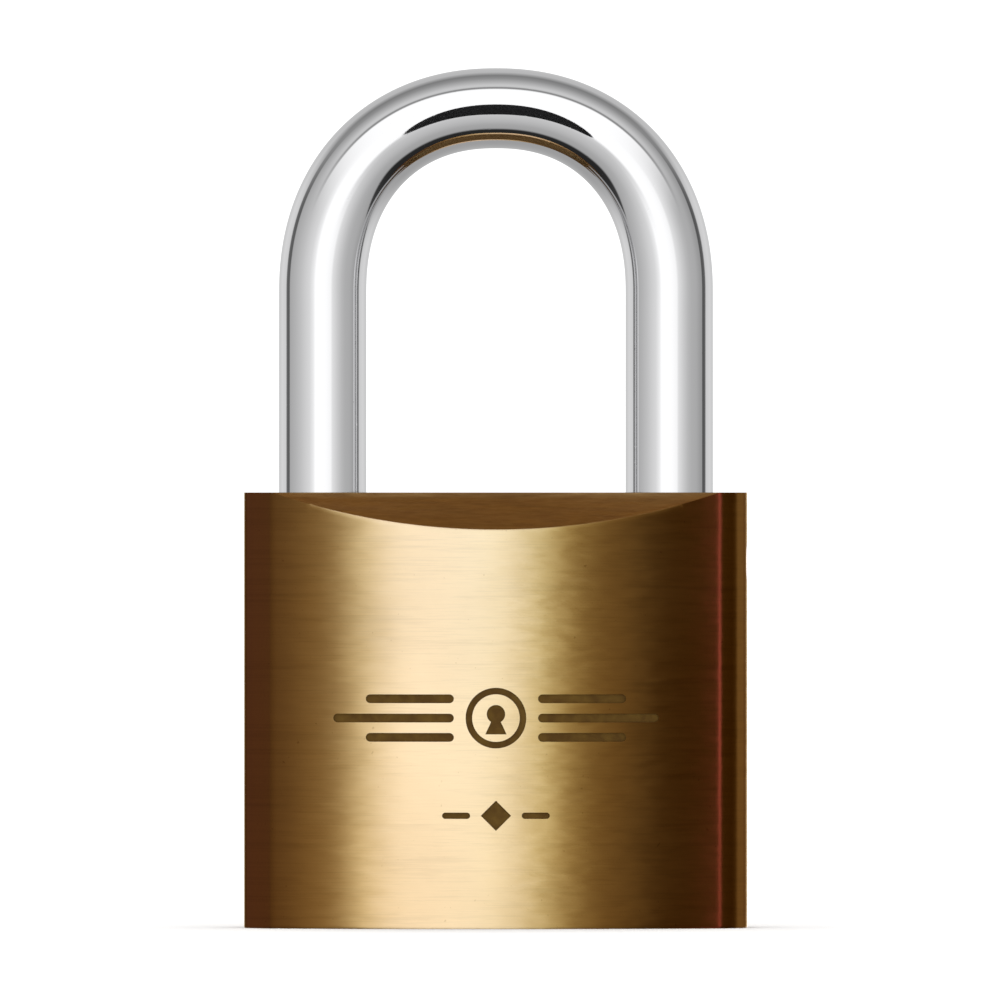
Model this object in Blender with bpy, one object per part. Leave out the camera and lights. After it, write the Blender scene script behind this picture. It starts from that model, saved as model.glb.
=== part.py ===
"""A 45 mm solid brass padlock with a chromed steel shackle, shown closed.

Inside are a five-pin cylinder, an actuator that turns with it, two locking balls that the
actuator holds in the shackle's notches, and a spring that lifts the shackle.
The pins stand at the shear line, as the right key holds them, so the plug is free to turn.
Frame: the origin is the middle of the base, +Z is up, -Y is the front and the toe leg is at +X.
"""

import math

import bmesh
import bpy
from mathutils import Vector

MM = 0.001

# Case body: an extruded bar with crowned faces, cut off square, with a chamfer along each top edge
BODY_WIDTH = 45.0 * MM
BODY_HEIGHT = 38.9 * MM
BODY_THICKNESS = 19.0 * MM
FACE_RADIUS = 62.0 * MM  # of the crowned front and back
CORNER_RADIUS = 4.0 * MM  # of the four upright edges
CHAMFER_DROP = 3.3 * MM  # how far the top chamfer comes down at the crown
CHAMFER_RUN = 3.3 * MM  # how far it goes in over the top face
BASE_EDGE_BREAK = 0.3 * MM

# Shackle: a round bar bent into a bow that is a little squarer than a half circle
BAR_RADIUS = 3.95 * MM
CROWN_THINNING = 0.32 * MM  # the bend takes this off the bar's radius, in the plane of the bow
LEG_SPACING = 31.0 * MM
SHACKLE_RISE = 38.0 * MM  # from the body's top face to the top of the bow
BOW_RISE = 16.5 * MM  # of the bow's centreline over the straight legs
BOW_SQUARENESS = 2.2  # 2 is an ellipse
TOE_TIP_CHAMFER = 0.8 * MM
HEEL_TIP_CHAMFER = 0.5 * MM
NOTCH_LAND = 1.0 * MM  # full bar left below a ball notch
NECK_DEPTH = 1.5 * MM
HEEL_FOOT = 2.3 * MM  # full bar left below the heel's neck
SWING_CLEARANCE = 0.5 * MM  # between the lifted toe and the body's top face
TOE_HOLE_SPARE = 1.0 * MM
SHACKLE_SPRING_SPACE = 6.3 * MM
SHACKLE_SPRING_WIRE = 0.35 * MM  # radius of the wire
SHACKLE_SPRING_TURNS = 6

# Cylinder
PLUG_RADIUS = 5.5 * MM
PLUG_RECESS = 0.2 * MM
PLUG_EDGE = 0.3 * MM
GROOVE_HEIGHT = 2.2 * MM  # of the retaining groove's lower side
GROOVE_WIDTH = 1.7 * MM
GROOVE_DEPTH = 0.9 * MM
TONGUE_LENGTH = 7.0 * MM
TONGUE_WIDTH = 2.4 * MM
TONGUE_HEIGHT = 1.6 * MM
KEYWAY_BACK = -4.3 * MM
KEYWAY_FRONT = 3.0 * MM
KEYWAY_HALF_WIDTH = 1.0 * MM
WARD_DEPTH = 0.62 * MM
WARD_WIDTH = 1.0 * MM
WARD_SLOPE = 0.4 * MM
WARDS = ((-1.5 * MM, -1), (0.8 * MM, 1))  # middle of each ward, and its side of the keyway

# Pin stacks, in chambers drilled from the narrow side at +X
PIN_RADIUS = 1.3 * MM
PIN_DOME = 0.25 * MM
KEY_PIN_LENGTHS = [length * MM for length in (3.0, 4.2, 3.4, 4.6, 3.8)]
KEY_PIN_POINT = 0.7 * MM
KEY_PIN_TIP_RADIUS = 0.35 * MM
DRIVER_PIN_LENGTH = 4.8 * MM
SHEAR_GAP = 0.1 * MM
CHAMBER_FLOOR = 0.2 * MM  # from the plug's axis
FIRST_PIN_HEIGHT = 6.2 * MM
LAST_PIN_BELOW_TOP = 2.6 * MM
CHAMBER_PLUG_LENGTH = 3.6 * MM
DRIVER_SPRING_WIRE = 0.16 * MM  # radius of the wire
DRIVER_SPRING_TURNS = 6

# Locking balls and the actuator that holds them apart
BALL_ENGAGEMENT = 1.0 * MM  # how deep a ball sits in the bar
TOP_WALL = 2.6 * MM  # body over the ball hole
ACTUATOR_BASE = 5.0 * MM  # height of the round base under the cam
ACTUATOR_WAIST = 3.0 * MM  # thickness left between the two pockets
CAM_OVER_BALLS = 2.6 * MM  # cam above the balls' centres
QUARTER_TURN = math.pi / 2
BALL_HOLE_PLUG_LENGTH = 2.0 * MM

# Retaining pins, pressed in from the back
SHACKLE_PIN_RADIUS = 1.0 * MM
PLUG_PIN_RADIUS = 0.75 * MM
PIN_PAST_BORE = 4.6 * MM  # how far a retaining pin reaches in front of the lock's middle plane

# Clearances
RUNNING_GAP = 0.1 * MM  # on the radius, where pieces move
PRESS_GAP = 0.05 * MM  # drawn on the radius, where pieces are pressed in
END_GAP = 0.1 * MM

FINE_SEGMENTS = 48
HOLE_SEGMENTS = 32
BAR_SEGMENTS = 24
PIN_SEGMENTS = 16
COIL_STEPS = 10
BOW_STEPS = 20
FACE_STEPS = 12
CORNER_STEPS = 5
CAM_STEPS = 72
SWEEP_STEPS = 18

UPRIGHT = (0.0, 0.0, 0.0)
ALONG_X = (0.0, math.pi / 2, 0.0)  # local +Z points to +X
ALONG_Y = (-math.pi / 2, 0.0, 0.0)  # local +Z points to +Y
DRAWN_IN_XZ = (math.pi / 2, 0.0, 0.0)  # local +Y points up, local +Z to the front


# --- sizes that follow from those above ---

leg_x = LEG_SPACING / 2
leg_hole_radius = BAR_RADIUS + RUNNING_GAP
bore_radius = PLUG_RADIUS + RUNNING_GAP
chamber_radius = PIN_RADIUS + RUNNING_GAP
actuator_radius = PLUG_RADIUS - RUNNING_GAP / 2

# a ball fills the room between the actuator's cam and the floor of its notch
notch_floor = leg_x - BAR_RADIUS + BALL_ENGAGEMENT
ball_radius = (notch_floor - actuator_radius - RUNNING_GAP) / 2
ball_hole_radius = ball_radius + RUNNING_GAP
ball_locked_x = notch_floor - ball_radius
ball_travel = PLUG_RADIUS - ACTUATOR_WAIST / 2
ball_height = BODY_HEIGHT - TOP_WALL - ball_hole_radius


def notch_reach(lift):
    """How far below the ball its notch runs out, so that the ball draws in ahead of the rising bar."""
    slope = ball_travel / lift
    side = ball_hole_radius * math.hypot(1, slope)
    return (side - (ball_radius - BALL_ENGAGEMENT)) / slope


def toe_depth_for(lift):
    return TOP_WALL + ball_hole_radius + notch_reach(lift) + NOTCH_LAND + TOE_TIP_CHAMFER


lift = 12.0 * MM
for _ in range(40):  # the toe's depth sets the lift, and the lift sets the notch, so it settles
    lift = toe_depth_for(lift) + SWING_CLEARANCE
toe_depth = lift - SWING_CLEARANCE

toe_tip = BODY_HEIGHT - toe_depth
notch_end = ball_height - notch_reach(lift)
neck_top = notch_end - NOTCH_LAND
shackle_pin_height = neck_top - 2 * RUNNING_GAP - SHACKLE_PIN_RADIUS
neck_bottom = shackle_pin_height - SHACKLE_PIN_RADIUS - 2 * RUNNING_GAP - lift
neck_radius = BAR_RADIUS - NECK_DEPTH
heel_tip = neck_bottom - HEEL_FOOT
heel_hole_floor = heel_tip - SHACKLE_SPRING_SPACE
springline = BODY_HEIGHT + SHACKLE_RISE - (BAR_RADIUS - CROWN_THINNING) - BOW_RISE

cam_bottom = ball_height - ball_hole_radius
cam_top = ball_height + CAM_OVER_BALLS
bore_top = cam_top + 3 * END_GAP
actuator_bottom = cam_bottom - ACTUATOR_BASE
plug_top = actuator_bottom - END_GAP
pin_pitch = (plug_top - LAST_PIN_BELOW_TOP - FIRST_PIN_HEIGHT) / (len(KEY_PIN_LENGTHS) - 1)
pin_heights = [FIRST_PIN_HEIGHT + i * pin_pitch for i in range(len(KEY_PIN_LENGTHS))]

key_pin_end = PLUG_RADIUS - SHEAR_GAP / 2
driver_pin_start = PLUG_RADIUS + SHEAR_GAP / 2
driver_pin_end = driver_pin_start + DRIVER_PIN_LENGTH
chamber_plug_start = BODY_WIDTH / 2 - CHAMBER_PLUG_LENGTH
shackle_pin_x = -leg_x + neck_radius + SHACKLE_PIN_RADIUS + 1.5 * RUNNING_GAP
plug_pin_x = -(PLUG_RADIUS - GROOVE_DEPTH + PLUG_PIN_RADIUS + RUNNING_GAP)
plug_pin_height = GROOVE_HEIGHT + GROOVE_WIDTH / 2


# --- objects and materials ---


def clear_scene():
    for old in list(bpy.data.objects):
        bpy.data.objects.remove(old)


def make_material(name, colour, roughness):
    material = bpy.data.materials.new(name)
    material.use_nodes = True
    shader = material.node_tree.nodes["Principled BSDF"]
    shader.inputs["Base Color"].default_value = (*colour, 1.0)
    shader.inputs["Metallic"].default_value = 1.0
    shader.inputs["Roughness"].default_value = roughness
    return material


def place(thing, location, rotation, parent):
    bpy.context.scene.collection.objects.link(thing)
    thing.location = location
    thing.rotation_euler = rotation
    thing.parent = parent
    return thing


def add_piece(name, shape, material, location=(0, 0, 0), rotation=UPRIGHT, parent=None):
    """A finished piece of the lock, made from a bmesh."""
    bmesh.ops.recalc_face_normals(shape, faces=shape.faces)
    mesh = bpy.data.meshes.new(name)
    shape.to_mesh(mesh)
    shape.free()
    mesh.materials.append(material)
    mesh.shade_smooth()
    mesh.set_sharp_from_angle(angle=math.radians(30))
    return place(bpy.data.objects.new(name, mesh), location, rotation, parent)


def change_by(piece, shape, operation, location=(0, 0, 0), rotation=UPRIGHT):
    """Cuts a shape out of a piece, joins it on or keeps what they share, with a hidden helper."""
    count = len(piece.modifiers) + 1
    helper = add_piece(f"{piece.name}_helper_{count}", shape, piece.data.materials[0], location, rotation)
    helper.hide_render = True
    helper.display_type = "WIRE"
    step = piece.modifiers.new(f"{operation.lower()}_{count}", "BOOLEAN")
    step.operation = operation
    step.object = helper


def add_axis(name, location):
    return place(bpy.data.objects.new(name, None), location, UPRIGHT, None)


# --- shapes ---


def ring(shape, centre, across, sideways, radius, flat_radius, segments):
    """One loop of vertices around centre, radius along sideways and flat_radius along across."""
    loop = []
    for i in range(segments):
        angle = 2 * math.pi * i / segments
        point = centre + across * (flat_radius * math.cos(angle)) + sideways * (radius * math.sin(angle))
        loop.append(shape.verts.new(point))
    return loop


def skin(shape, loops):
    """Joins each loop to the next with a band of faces, and caps both ends."""
    for near, far in zip(loops, loops[1:]):
        for i, vertex in enumerate(near):
            after = (i + 1) % len(near)
            shape.faces.new((vertex, near[after], far[after], far[i]))
    shape.faces.new(loops[0])
    shape.faces.new(loops[-1])


def turned(profile, segments):
    """A solid turned about +Z, from (radius, height) stations listed from one end to the other."""
    shape = bmesh.new()
    across, sideways = Vector((1, 0, 0)), Vector((0, 1, 0))
    loops = [
        ring(shape, Vector((0, 0, height)), across, sideways, radius, radius, segments)
        for radius, height in profile
    ]
    skin(shape, loops)
    return shape


def rod(radius, low, high, segments=HOLE_SEGMENTS):
    return turned([(radius, low), (radius, high)], segments)


def prism(outline, low, high):
    """A flat outline of (x, y) points, extruded from low to high."""
    shape = bmesh.new()
    base = shape.faces.new([shape.verts.new((x, y, low)) for x, y in outline])
    made = bmesh.ops.extrude_face_region(shape, geom=[base])
    raised = [part for part in made["geom"] if isinstance(part, bmesh.types.BMVert)]
    bmesh.ops.translate(shape, verts=raised, vec=(0, 0, high - low))
    return shape


def block(length, width, low, high):
    x, y = length / 2, width / 2
    return prism([(-x, -y), (x, -y), (x, y), (-x, y)], low, high)


def arc(centre_x, centre_y, radius, start, end, steps):
    """Points on an arc, with angles measured from +Y towards +X."""
    angles = [start + (end - start) * i / steps for i in range(steps + 1)]
    return [(centre_x + radius * math.sin(a), centre_y + radius * math.cos(a)) for a in angles]


def coil(name, radius, wire, turns, length, material, location, rotation):
    """A compression spring along its own +Z, as a bevelled curve."""
    line = bpy.data.curves.new(name, "CURVE")
    line.dimensions = "3D"
    line.bevel_depth = wire
    line.bevel_resolution = 0
    line.use_fill_caps = True
    path = line.splines.new("POLY")
    path.points.add(turns * COIL_STEPS)
    for i, point in enumerate(path.points):
        angle = 2 * math.pi * i / COIL_STEPS
        rise = wire + (length - 2 * wire) * i / (turns * COIL_STEPS)
        point.co = (radius * math.cos(angle), radius * math.sin(angle), rise, 1)
    line.materials.append(material)
    return place(bpy.data.objects.new(name, line), location, rotation, None)


# --- the case ---


def body_outline(inset=0.0):
    """The body seen from above, every wall moved in by inset."""
    face_centre = BODY_THICKNESS / 2 - FACE_RADIUS
    corner_x = BODY_WIDTH / 2 - CORNER_RADIUS
    corner_y = face_centre + math.sqrt((FACE_RADIUS - CORNER_RADIUS) ** 2 - corner_x**2)
    meeting = math.atan2(corner_x, corner_y - face_centre)
    quarter = arc(0, face_centre, FACE_RADIUS - inset, 0, meeting, FACE_STEPS)
    quarter += arc(corner_x, corner_y, CORNER_RADIUS - inset, meeting, QUARTER_TURN, CORNER_STEPS)[1:]
    right = quarter + [(x, -y) for x, y in reversed(quarter)]
    left = [(-x, y) for x, y in reversed(right[1:-1])]
    return right + left


def chamfer_top(shape):
    """Planes off the front and back of the top; on the crowned faces each leaves a crescent."""
    for side in (-1, 1):
        edge = Vector((0, side * (BODY_THICKNESS / 2 - CHAMFER_RUN), BODY_HEIGHT))
        outward = Vector((0, side * CHAMFER_DROP, CHAMFER_RUN)).normalized()
        everything = shape.verts[:] + shape.edges[:] + shape.faces[:]
        bmesh.ops.bisect_plane(shape, geom=everything, plane_co=edge, plane_no=outward, clear_outer=True)
        rim = [line for line in shape.edges if line.is_boundary]
        bmesh.ops.holes_fill(shape, edges=rim)


def break_base_edge(shape):
    rim = [line for line in shape.edges if all(v.co.z < BASE_EDGE_BREAK / 2 for v in line.verts)]
    bmesh.ops.bevel(shape, geom=rim, offset=BASE_EDGE_BREAK, segments=1, profile=0.5, affect="EDGES")


def make_body(brass):
    shape = prism(body_outline(), 0, BODY_HEIGHT)
    chamfer_top(shape)
    break_base_edge(shape)
    body = add_piece("body", shape, brass)
    past_side = BODY_WIDTH / 2 + 1 * MM
    above = BODY_HEIGHT + 1 * MM
    behind = BODY_THICKNESS
    shackle_pin_hole = rod(SHACKLE_PIN_RADIUS + PRESS_GAP, -PIN_PAST_BORE - END_GAP, behind, PIN_SEGMENTS)
    change_by(body, shackle_pin_hole, "DIFFERENCE", (shackle_pin_x, 0, shackle_pin_height), ALONG_Y)
    plug_pin_hole = rod(PLUG_PIN_RADIUS + PRESS_GAP, -PIN_PAST_BORE - END_GAP, behind, PIN_SEGMENTS)
    change_by(body, plug_pin_hole, "DIFFERENCE", (plug_pin_x, 0, plug_pin_height), ALONG_Y)
    change_by(body, rod(leg_hole_radius, heel_hole_floor, above), "DIFFERENCE", (-leg_x, 0, 0))
    change_by(body, rod(leg_hole_radius, toe_tip - TOE_HOLE_SPARE, above), "DIFFERENCE", (leg_x, 0, 0))
    change_by(body, rod(bore_radius, -1 * MM, bore_top, FINE_SEGMENTS), "DIFFERENCE")
    ball_hole = rod(ball_hole_radius, -leg_x, past_side)
    change_by(body, ball_hole, "DIFFERENCE", (0, 0, ball_height), ALONG_X)
    for height in pin_heights:
        chamber = rod(chamber_radius, 0, past_side, PIN_SEGMENTS)
        change_by(body, chamber, "DIFFERENCE", (0, 0, height), ALONG_X)
    return body


def trim_flush(piece):
    """Leaves a pressed-in piece level with the body's outside."""
    change_by(piece, prism(body_outline(PRESS_GAP), 0, BODY_HEIGHT), "INTERSECT")


def make_side_plugs(brass):
    """The brass stoppers that close the holes drilled from the narrow side."""
    past_side = BODY_WIDTH / 2 + 1 * MM
    for i, height in enumerate(pin_heights):
        shape = rod(PIN_RADIUS + PRESS_GAP, chamber_plug_start, past_side, PIN_SEGMENTS)
        trim_flush(add_piece(f"chamber_plug_{i + 1}", shape, brass, (0, 0, height), ALONG_X))
    start = BODY_WIDTH / 2 - BALL_HOLE_PLUG_LENGTH
    shape = rod(ball_hole_radius - PRESS_GAP, start, past_side)
    trim_flush(add_piece("ball_hole_plug", shape, brass, (0, 0, ball_height), ALONG_X))


def make_retaining_pins(steel):
    behind = BODY_THICKNESS
    shape = rod(SHACKLE_PIN_RADIUS, -PIN_PAST_BORE, behind, PIN_SEGMENTS)
    place_at = (shackle_pin_x, 0, shackle_pin_height)
    trim_flush(add_piece("shackle_retaining_pin", shape, steel, place_at, ALONG_Y))
    shape = rod(PLUG_PIN_RADIUS, -PIN_PAST_BORE, behind, PIN_SEGMENTS)
    trim_flush(add_piece("plug_retaining_pin", shape, steel, (plug_pin_x, 0, plug_pin_height), ALONG_Y))


# --- the shackle ---


def bow_station(angle):
    """(centre, outward direction, in-plane radius) of the bow; angle runs from 0 at the heel to pi at the toe."""
    power = 2 / BOW_SQUARENESS
    x = -math.copysign(abs(math.cos(angle)) ** power, math.cos(angle))
    z = math.sin(angle) ** power
    normal_x = math.copysign(abs(x) ** (BOW_SQUARENESS - 1), x) / leg_x
    normal_z = z ** (BOW_SQUARENESS - 1) / BOW_RISE
    centre = Vector((leg_x * x, 0, springline + BOW_RISE * z))
    flat_radius = BAR_RADIUS - CROWN_THINNING * math.sin(angle) ** 2
    return centre, Vector((normal_x, 0, normal_z)).normalized(), flat_radius


def shackle_shape():
    heel = [
        (BAR_RADIUS - HEEL_TIP_CHAMFER, heel_tip),
        (BAR_RADIUS, heel_tip + HEEL_TIP_CHAMFER),
        (BAR_RADIUS, neck_bottom),
        (neck_radius, neck_bottom),
        (neck_radius, neck_top),
        (BAR_RADIUS, neck_top),
    ]
    toe = [
        (BAR_RADIUS, toe_tip + TOE_TIP_CHAMFER),
        (BAR_RADIUS - TOE_TIP_CHAMFER, toe_tip),
    ]
    shape = bmesh.new()
    left, right, to_front = Vector((-1, 0, 0)), Vector((1, 0, 0)), Vector((0, -1, 0))
    loops = [
        ring(shape, Vector((-leg_x, 0, height)), left, to_front, radius, radius, BAR_SEGMENTS)
        for radius, height in heel
    ]
    for step in range(BOW_STEPS + 1):
        centre, outward, flat_radius = bow_station(math.pi * step / BOW_STEPS)
        loops.append(ring(shape, centre, outward, to_front, BAR_RADIUS, flat_radius, BAR_SEGMENTS))
    loops += [
        ring(shape, Vector((leg_x, 0, height)), right, to_front, radius, radius, BAR_SEGMENTS)
        for radius, height in toe
    ]
    skin(shape, loops)
    return shape


def notch_outline(side):
    """The ball's round seat with a ramp below it, in x and z from the ball's centre."""
    slope = ball_travel / lift
    tangent = math.atan(slope)  # how far below level the seat turns into the ramp
    far = ball_radius
    seat = arc(0, 0, ball_hole_radius, 0, QUARTER_TURN + tangent, 10)
    ramp_drop = notch_reach(lift) + far / 2
    ramp_end = ball_hole_radius * math.hypot(1, slope) - slope * ramp_drop
    outline = seat + [(ramp_end, -ramp_drop), (-far, -ramp_drop), (-far, ball_hole_radius)]
    return [(side * x, z) for x, z in outline]


def make_shackle(chrome):
    heel_axis = add_axis("heel_axis", (-leg_x, 0, 0))
    shackle = add_piece("shackle", shackle_shape(), chrome, (leg_x, 0, 0), parent=heel_axis)
    for side in (-1, 1):
        cutter = prism(notch_outline(side), -2 * BAR_RADIUS, 2 * BAR_RADIUS)
        change_by(shackle, cutter, "DIFFERENCE", (side * ball_locked_x, 0, ball_height), DRAWN_IN_XZ)


def make_shackle_spring(steel):
    coil(
        "shackle_spring",
        BAR_RADIUS - 2 * SHACKLE_SPRING_WIRE,
        SHACKLE_SPRING_WIRE,
        SHACKLE_SPRING_TURNS,
        SHACKLE_SPRING_SPACE - 2 * END_GAP,
        steel,
        (-leg_x, 0, heel_hole_floor + END_GAP),
        UPRIGHT,
    )


# --- the cylinder ---


def keyway_side(side):
    """One wall of the keyway from back to front, stepping in over its wards."""
    wall = side * KEYWAY_HALF_WIDTH
    inner = wall - side * WARD_DEPTH
    points = [(KEYWAY_BACK, wall)]
    for middle, ward_side in WARDS:
        if ward_side == side:
            near, far = middle - WARD_WIDTH / 2, middle + WARD_WIDTH / 2
            points += [(near - WARD_SLOPE, wall), (near, inner), (far, inner), (far + WARD_SLOPE, wall)]
    return points + [(KEYWAY_FRONT, wall)]


def make_plug(brass, axis):
    groove_top = GROOVE_HEIGHT + GROOVE_WIDTH
    groove_radius = PLUG_RADIUS - GROOVE_DEPTH
    profile = [
        (PLUG_RADIUS - PLUG_EDGE, PLUG_RECESS),
        (PLUG_RADIUS, PLUG_RECESS + PLUG_EDGE),
        (PLUG_RADIUS, GROOVE_HEIGHT),
        (groove_radius, GROOVE_HEIGHT),
        (groove_radius, groove_top),
        (PLUG_RADIUS, groove_top),
        (PLUG_RADIUS, plug_top),
    ]
    plug = add_piece("plug", turned(profile, FINE_SEGMENTS), brass, parent=axis)
    tongue = block(TONGUE_LENGTH, TONGUE_WIDTH, plug_top - TONGUE_HEIGHT, plug_top + TONGUE_HEIGHT)
    change_by(plug, tongue, "UNION")
    keyway = prism(keyway_side(-1) + keyway_side(1)[::-1], -1 * MM, plug_top - TONGUE_HEIGHT)
    change_by(plug, keyway, "DIFFERENCE")
    for height in pin_heights:
        chamber = rod(chamber_radius, CHAMBER_FLOOR, 2 * PLUG_RADIUS, PIN_SEGMENTS)
        change_by(plug, chamber, "DIFFERENCE", (0, 0, height), ALONG_X)


def make_pin_stack(number, height, key_pin_length, brass, steel, axis):
    dome_radius = PIN_RADIUS - 2 * PIN_DOME
    point = [
        (KEY_PIN_TIP_RADIUS, -key_pin_length),
        (PIN_RADIUS, KEY_PIN_POINT - key_pin_length),
        (PIN_RADIUS, -PIN_DOME),
        (dome_radius, 0),
    ]
    shape = turned(point, PIN_SEGMENTS)
    add_piece(f"key_pin_{number}", shape, brass, (key_pin_end, 0, height), ALONG_X, axis)
    driver = [
        (dome_radius, 0),
        (PIN_RADIUS, PIN_DOME),
        (PIN_RADIUS, DRIVER_PIN_LENGTH - PIN_DOME),
        (dome_radius, DRIVER_PIN_LENGTH),
    ]
    shape = turned(driver, PIN_SEGMENTS)
    add_piece(f"driver_pin_{number}", shape, steel, (driver_pin_start, 0, height), ALONG_X)
    coil(
        f"driver_spring_{number}",
        PIN_RADIUS - DRIVER_SPRING_WIRE,
        DRIVER_SPRING_WIRE,
        DRIVER_SPRING_TURNS,
        chamber_plug_start - driver_pin_end - 2 * END_GAP,
        steel,
        (driver_pin_end + END_GAP, 0, height),
        ALONG_X,
    )


# --- the locking work ---


def cam_reach(angle):
    """The cam's radius at an angle, clear of both balls as they draw in over a quarter turn."""
    keep_off = ball_radius + RUNNING_GAP
    reach = actuator_radius
    for step in range(SWEEP_STEPS + 1):
        share = step / SWEEP_STEPS
        distance = ball_locked_x - ball_travel * share
        for side in (0, math.pi):
            off = angle - side + share * QUARTER_TURN
            aside = distance * math.sin(off)
            if math.cos(off) > 0 and abs(aside) < keep_off:
                reach = min(reach, distance * math.cos(off) - math.sqrt(keep_off**2 - aside**2))
    return reach


def make_actuator(steel, axis):
    outline = []
    for i in range(CAM_STEPS):
        angle = 2 * math.pi * i / CAM_STEPS
        reach = cam_reach(angle)
        outline.append((reach * math.cos(angle), reach * math.sin(angle)))
    base = rod(actuator_radius, actuator_bottom, cam_bottom, FINE_SEGMENTS)
    actuator = add_piece("actuator", base, steel, parent=axis)
    change_by(actuator, prism(outline, cam_bottom - ACTUATOR_BASE / 4, cam_top), "UNION")
    slot_top = plug_top + TONGUE_HEIGHT + END_GAP
    slot = block(TONGUE_LENGTH + 4 * PRESS_GAP, TONGUE_WIDTH + 4 * PRESS_GAP, plug_top - 1 * MM, slot_top)
    change_by(actuator, slot, "DIFFERENCE")


def make_ball(name, side, steel):
    shape = bmesh.new()
    bmesh.ops.create_uvsphere(shape, u_segments=20, v_segments=12, radius=ball_radius)
    add_piece(name, shape, steel, (side * ball_locked_x, 0, ball_height))


def main():
    clear_scene()
    brushed_brass = make_material("brushed_brass", (0.78, 0.57, 0.27), 0.35)
    turned_brass = make_material("turned_brass", (0.83, 0.62, 0.30), 0.25)
    chrome = make_material("chrome", (0.80, 0.81, 0.83), 0.08)
    steel = make_material("steel", (0.62, 0.62, 0.64), 0.30)

    make_body(brushed_brass)
    make_side_plugs(brushed_brass)
    make_retaining_pins(steel)
    make_shackle(chrome)
    make_shackle_spring(steel)
    plug_axis = add_axis("plug_axis", (0, 0, 0))
    make_plug(turned_brass, plug_axis)
    make_actuator(steel, plug_axis)
    make_ball("ball_heel", -1, steel)
    make_ball("ball_toe", 1, steel)
    for i, (height, length) in enumerate(zip(pin_heights, KEY_PIN_LENGTHS)):
        make_pin_stack(i + 1, height, length, turned_brass, steel, plug_axis)
    print(f"lift {lift / MM:.3f} mm, ball travel {ball_travel / MM:.3f} mm, ball height {ball_height / MM:.2f} mm")


main()
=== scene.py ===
# Square brass padlock with a chromed shackle: the finished pieces, their surfaces and the studio,
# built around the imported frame. Shapes are drawn in millimetres and made metres when a piece is finished.

import math

import bmesh
import bpy
from mathutils import Matrix, Vector


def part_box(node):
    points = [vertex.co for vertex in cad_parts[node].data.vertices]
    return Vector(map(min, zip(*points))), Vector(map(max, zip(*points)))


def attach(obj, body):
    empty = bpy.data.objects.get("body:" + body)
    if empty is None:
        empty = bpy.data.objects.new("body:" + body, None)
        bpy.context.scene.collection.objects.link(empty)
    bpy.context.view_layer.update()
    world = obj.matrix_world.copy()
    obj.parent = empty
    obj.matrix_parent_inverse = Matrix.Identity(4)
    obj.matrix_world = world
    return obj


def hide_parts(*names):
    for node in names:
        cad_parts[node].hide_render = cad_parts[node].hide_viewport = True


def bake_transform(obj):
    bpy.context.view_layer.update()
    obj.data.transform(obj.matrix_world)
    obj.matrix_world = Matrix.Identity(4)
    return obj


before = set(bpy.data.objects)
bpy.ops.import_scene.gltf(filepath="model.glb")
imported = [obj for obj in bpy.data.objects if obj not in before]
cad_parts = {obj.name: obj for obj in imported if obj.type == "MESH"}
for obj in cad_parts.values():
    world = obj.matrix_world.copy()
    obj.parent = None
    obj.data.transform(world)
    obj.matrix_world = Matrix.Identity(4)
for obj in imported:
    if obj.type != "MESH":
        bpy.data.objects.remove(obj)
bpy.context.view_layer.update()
mm = 0.001
upright = Matrix.Identity(4)
alongX = Matrix.Rotation(math.pi / 2, 4, "Y")  # local +Z points to +X
alongY = Matrix.Rotation(-math.pi / 2, 4, "X")  # local +Z points to +Y
facingFront = Matrix.Rotation(math.pi / 2, 4, "X")  # local +Y points up and local +Z to the front


def boxOf(node):
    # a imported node's corners, in millimetres
    low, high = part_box(node)
    return low / mm, high / mm


def middleOf(node):
    low, high = boxOf(node)
    return (low + high) / 2


# what the metals share: node helpers, then grain, handling marks and turning marks


def newGroup(name, inputs, outputs):
    group = bpy.data.node_groups.new(name, "ShaderNodeTree")
    for socketName, socketType, value in inputs:
        socket = group.interface.new_socket(socketName, in_out="INPUT", socket_type=socketType)
        if value is not None:
            socket.default_value = value
    for socketName in outputs:
        group.interface.new_socket(socketName, in_out="OUTPUT", socket_type="NodeSocketFloat")
    source = group.nodes.new("NodeGroupInput")
    target = group.nodes.new("NodeGroupOutput")
    return group, source, target


def addNode(tree, kind, links=None, **settings):
    # settings are the node's own properties; links maps an input to a value or to another node's output
    node = tree.nodes.new(kind)
    for key, value in settings.items():
        setattr(node, key, value)
    for key, value in (links or {}).items():
        if isinstance(value, bpy.types.NodeSocket):
            tree.links.new(value, node.inputs[key])
        else:
            node.inputs[key].default_value = value
    return node


def addMath(tree, operation, first, second=0.0, third=0.0, clamp=False):
    links = {0: first, 1: second, 2: third}
    return addNode(tree, "ShaderNodeMath", links, operation=operation, use_clamp=clamp).outputs[0]


def addBlend(tree, share, first, last):
    return addMath(tree, "MULTIPLY_ADD", share, last - first, first)


def addNoise(tree, vector, scale, detail, **inputs):
    links = {"Vector": vector, "Scale": scale, "Detail": detail, **inputs}
    return addNode(tree, "ShaderNodeTexNoise", links).outputs["Fac"]


def addMapping(tree, vector, **inputs):
    return addNode(tree, "ShaderNodeMapping", {"Vector": vector, **inputs}).outputs[0]


def addRange(tree, value, start, end, first=0.0, last=1.0, kind="LINEAR"):
    links = {"Value": value, 1: start, 2: end, 3: first, 4: last}
    return addNode(tree, "ShaderNodeMapRange", links, interpolation_type=kind).outputs[0]


def addRamp(tree, factor, stops):
    node = addNode(tree, "ShaderNodeValToRGB", {"Fac": factor})
    elements = node.color_ramp.elements
    elements[0].position = stops[0][0]
    elements[1].position = stops[-1][0]
    for position, _ in stops[1:-1]:
        elements.new(position)
    for element, (_, colour) in zip(elements, stops):
        element.color = (*colour, 1.0) if isinstance(colour, tuple) else (colour, colour, colour, 1.0)
    return node.outputs["Color"]


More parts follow.
